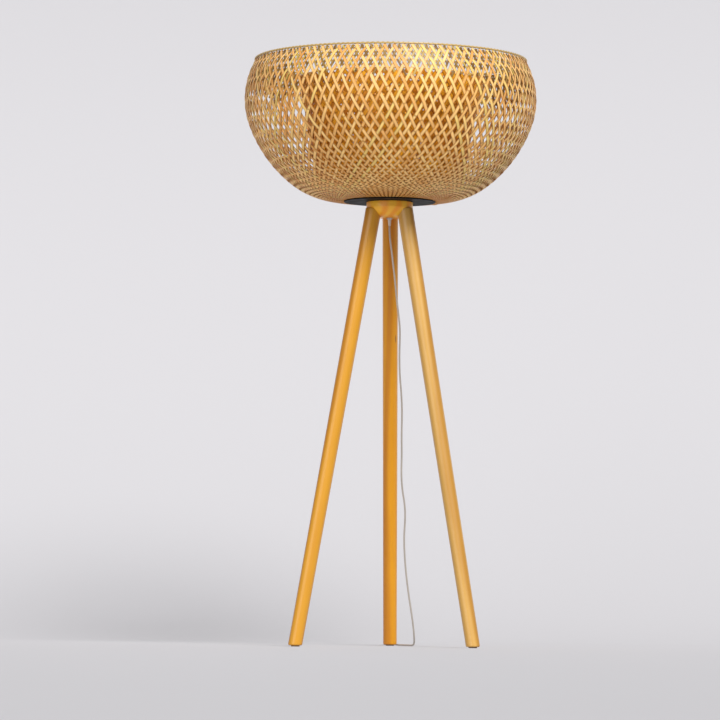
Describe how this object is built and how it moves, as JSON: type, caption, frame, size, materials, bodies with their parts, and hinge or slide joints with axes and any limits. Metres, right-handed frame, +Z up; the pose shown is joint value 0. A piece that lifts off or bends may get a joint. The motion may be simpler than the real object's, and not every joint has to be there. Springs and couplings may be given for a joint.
{
  "type": "tripod floor lamp",
  "caption": "Floor lamp with splayed round wooden legs, a turned hub and a large double-walled bowl shade woven from split bamboo, lit by a screw-in bulb.",
  "frame": {"origin": "on the floor under the middle of the hub, where the shade's axis meets it", "axes": "+Z up along the shade's axis; +Y towards the third, rear leg; -Y is the front"},
  "size_m": [0.8336, 1.0428, 1.67],
  "materials": {
    "lacquered_wood": "honey lacquered hardwood, satin",
    "bamboo_outer": "split bamboo strips, waxed",
    "bamboo_inner": "split bamboo strips, amber stain",
    "cane_hoop": "round cane, dark olive brown, satin",
    "black_steel": "black powder coat, satin",
    "zinc_steel": "bright zinc plate",
    "brass": "bare brass",
    "white_plastic": "white thermoset, gloss",
    "white_ceramic": "white glazed ceramic",
    "nickel_cap": "nickel-plated cap",
    "black_glass": "black vitrified insulator",
    "clear_glass": "clear glass, smooth",
    "filament": "yellow phosphor coating",
    "clear_pvc": "milky transparent PVC",
    "grip_plastic": "soft off-white PVC",
    "switch_plastic": "off-white, fine gloss",
    "rocker_plastic": "off-white, fine spark texture",
    "felt": "pressed felt, brown",
    "core_copper": "brown core insulation"
  },
  "bodies": {
    "stand": {"clamp_disc": "black_steel", "cord_grip": "grip_plastic", "disc_screws": "zinc_steel", "foot_pad_left": "felt", "foot_pad_rear": "felt", "foot_pad_right": "felt", "hank_tie": "grip_plastic", "holder_cap": "white_plastic", "holder_centre_contact": "brass", "holder_core": "white_ceramic", "holder_grub_screw": "zinc_steel", "holder_screw_shell": "brass", "holder_shell": "white_plastic", "hub": "lacquered_wood", "hub_inserts": "brass", "inner_basket": "bamboo_inner", "inner_hoop": "cane_hoop", "inner_lead": "clear_pvc", "lead_cores": "core_copper", "lead_hank": "clear_pvc", "lead_link": "clear_pvc", "lead_tail": "clear_pvc", "lead_upper": "clear_pvc", "leg_left": "lacquered_wood", "leg_rear": "lacquered_wood", "leg_right": "lacquered_wood", "leg_studs": "zinc_steel", "lower_nut": "zinc_steel", "lower_washer": "zinc_steel", "mounting_disc": "black_steel", "outer_basket": "bamboo_outer", "plug_blades": "brass", "plug_body": "grip_plastic", "plug_relief": "grip_plastic", "rim_hoop": "cane_hoop", "rocker_axle": "zinc_steel", "switch_contacts": "brass", "switch_lower": "switch_plastic", "switch_screws": "zinc_steel", "switch_upper": "switch_plastic", "terminal_screws": "brass", "threaded_tube": "zinc_steel", "upper_nut": "zinc_steel", "upper_washer": "zinc_steel"},
    "bulb": {"bulb_cap": "nickel_cap", "bulb_contact": "nickel_cap", "bulb_insulator": "black_glass", "bulb_glass": "clear_glass", "bulb_stem": "clear_glass", "led_filaments": "filament"},
    "rocker": {"switch_rocker": "rocker_plastic"}
  },
  "joints": [
    {"name": "bulb_lift", "type": "slide", "parent": "stand", "child": "bulb", "axis": [0, 0, 1], "range_m": [0, 0.06]},
    {"name": "rocker_tip", "type": "hinge", "parent": "stand", "child": "rocker", "pos_m": [-0.00422, 0.39592, 0.0125], "axis": [0.9992, 0.0391, 0], "range_deg": [0, 20]}
  ]
}
